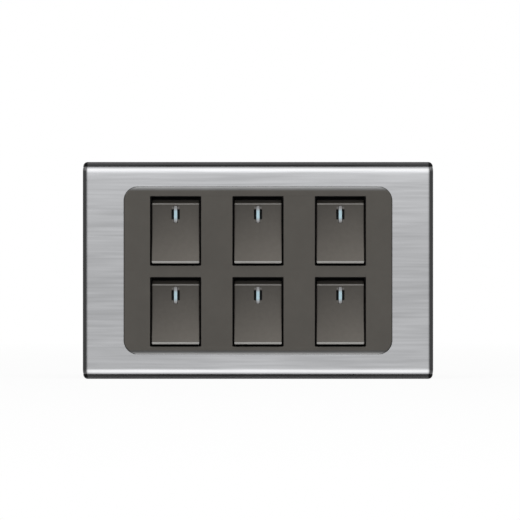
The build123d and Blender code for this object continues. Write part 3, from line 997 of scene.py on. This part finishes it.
def camelName(node):
    first, *others = node.split("_")
    return first + "".join("_" + word if word.isdigit() else word.capitalize() for word in others)


def buildSoftCopy(node):
    kind = node if node in softEdges else node.rsplit("_", 1)[0]
    bm = mergedCopy(node)
    soften(bm, softEdges[kind])
    piece = finishPiece(bm, camelName(node), finishOfNode[kind], bodyOfNode[node], [node])
    if node == "cover_carrier":
        piece.data.materials[0] = carrierPlastic
    return piece


buildFaceSheet()
buildInsert()
print("cover made")
for number in pivots:
    buildHousing(number)
    buildKey(number)
    buildLens(number)
    buildSpring(number)
print("housings, keys, light bars and springs made")
for node in cadNodes:
    if node in softEdges or node.rsplit("_", 1)[0] in softEdges:
        buildSoftCopy(node)
print("carrier, frame, contacts and terminals made")
for number in pivots:
    low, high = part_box(f"load_terminal_{number}")
    turn = radians(screwSizes["slotTurn"] * int(number))
    buildScrew(f"loadScrew_{number}", (low[0] + high[0]) / 2, (low[2] + high[2]) / 2, high[1], turn)
    low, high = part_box(f"common_terminal_{number}")
    ringMiddle = low[2] + screwSizes["ring"] / 2
    buildScrew(f"commonScrew_{number}", (low[0] + high[0]) / 2, ringMiddle, high[1], -turn)
print("clamp screws made")


# camera square to the plate, framed from where the plate lies in the photograph
cameraSizes = {
    "imagePixels": 520,
    "pixelsPerMm": 2.9133,
    "plateCentre": (258.0, 270.42),
    "lens": 200,
    "sensor": 36,
    "focusPlane": -6.4 * mm,
}


def buildCamera():
    sizes = cameraSizes
    pixel = mm / sizes["pixelsPerMm"]
    middle = sizes["imagePixels"] / 2
    distance = sizes["imagePixels"] * pixel * sizes["lens"] / sizes["sensor"]
    data = bpy.data.cameras.new("photoCamera")
    data.lens = sizes["lens"]
    data.sensor_width = sizes["sensor"]
    camera = bpy.data.objects.new("photoCamera", data)
    camera.location = (
        (middle - sizes["plateCentre"][0]) * pixel,
        sizes["focusPlane"] - distance,
        (sizes["plateCentre"][1] - middle) * pixel,
    )
    camera.rotation_euler = (radians(90), 0, 0)
    scene.collection.objects.link(camera)
    scene.camera = camera


# white where the camera, metal or glass looks, a plain fill elsewhere
def seenDirectly(tree):
    path = addNode(tree, "ShaderNodeLightPath")
    first = addNode(tree, "ShaderNodeMath", operation="MAXIMUM")
    tree.links.new(path.outputs["Is Camera Ray"], first.inputs[0])
    tree.links.new(path.outputs["Is Glossy Ray"], first.inputs[1])
    second = addNode(tree, "ShaderNodeMath", operation="MAXIMUM")
    tree.links.new(first.outputs[0], second.inputs[0])
    tree.links.new(path.outputs["Is Transmission Ray"], second.inputs[1])
    return second.outputs[0]


studioSizes = {
    "fill": 0.25,
    "floorSize": 60.0,
    "floorPale": 0.5,
    # how white the floor shows near the object and far from it, and the distances between
    "floorWhite": (0.92, 1.0),
    "floorFade": (0.10, 0.45),
    "topLight": {"at": (0, -0.28, 0.82), "size": (1.2, 0.4), "power": 13.0},
}


def buildWorld():
    world = bpy.data.worlds.new("softStudio")
    scene.world = world
    world.use_nodes = True
    tree = world.node_tree
    background = tree.nodes["Background"]
    background.inputs["Color"].default_value = (1, 1, 1, 1)
    strength = mapTo(tree, seenDirectly(tree), 0.0, 1.0, studioSizes["fill"], 1.0)
    tree.links.new(strength, background.inputs["Strength"])


def buildFloor():
    bm = bmesh.new()
    bmesh.ops.create_grid(bm, x_segments=1, y_segments=1, size=studioSizes["floorSize"] / 2)
    bmesh.ops.translate(bm, vec=(0, 0, cadBox[0][2]), verts=bm.verts)
    mesh = bpy.data.meshes.new("paleFloor")
    bm.to_mesh(mesh)
    bm.free()
    floor = bpy.data.objects.new("paleFloor", mesh)
    scene.collection.objects.link(floor)
    material = bpy.data.materials.new("paleFloor")
    material.use_nodes = True
    tree = material.node_tree
    tree.nodes.clear()
    matt = addNode(tree, "ShaderNodeBsdfDiffuse", {"Color": (*[studioSizes["floorPale"]] * 3, 1)})
    white = addNode(tree, "ShaderNodeEmission", {"Color": (1, 1, 1, 1), "Strength": 1.0})
    mix = addNode(tree, "ShaderNodeMixShader")
    place = addNode(tree, "ShaderNodeTexCoord")
    away = addNode(tree, "ShaderNodeVectorMath", operation="LENGTH")
    tree.links.new(place.outputs["Object"], away.inputs[0])
    fade = mapTo(tree, away.outputs["Value"], *studioSizes["floorFade"], *studioSizes["floorWhite"])
    share = addNode(tree, "ShaderNodeMath", operation="MULTIPLY")
    tree.links.new(fade, share.inputs[0])
    tree.links.new(seenDirectly(tree), share.inputs[1])
    tree.links.new(share.outputs[0], mix.inputs[0])
    tree.links.new(matt.outputs[0], mix.inputs[1])
    tree.links.new(white.outputs[0], mix.inputs[2])
    output = addNode(tree, "ShaderNodeOutputMaterial")
    tree.links.new(mix.outputs[0], output.inputs[0])
    mesh.materials.append(material)


# one soft box above
def buildLight(name):
    sizes = studioSizes[name]
    data = bpy.data.lights.new(name, "AREA")
    data.shape = "RECTANGLE"
    data.size, data.size_y = sizes["size"]
    data.energy = sizes["power"]
    light = bpy.data.objects.new(name, data)
    light.location = sizes["at"]
    light.rotation_euler = (-Vector(sizes["at"])).to_track_quat("-Z", "Y").to_euler()
    light.visible_camera = False
    light.visible_glossy = False
    scene.collection.objects.link(light)


buildCamera()
buildWorld()
buildFloor()
buildLight("topLight")
scene.view_settings.view_transform = "Standard"
print("camera, floor and lights made")
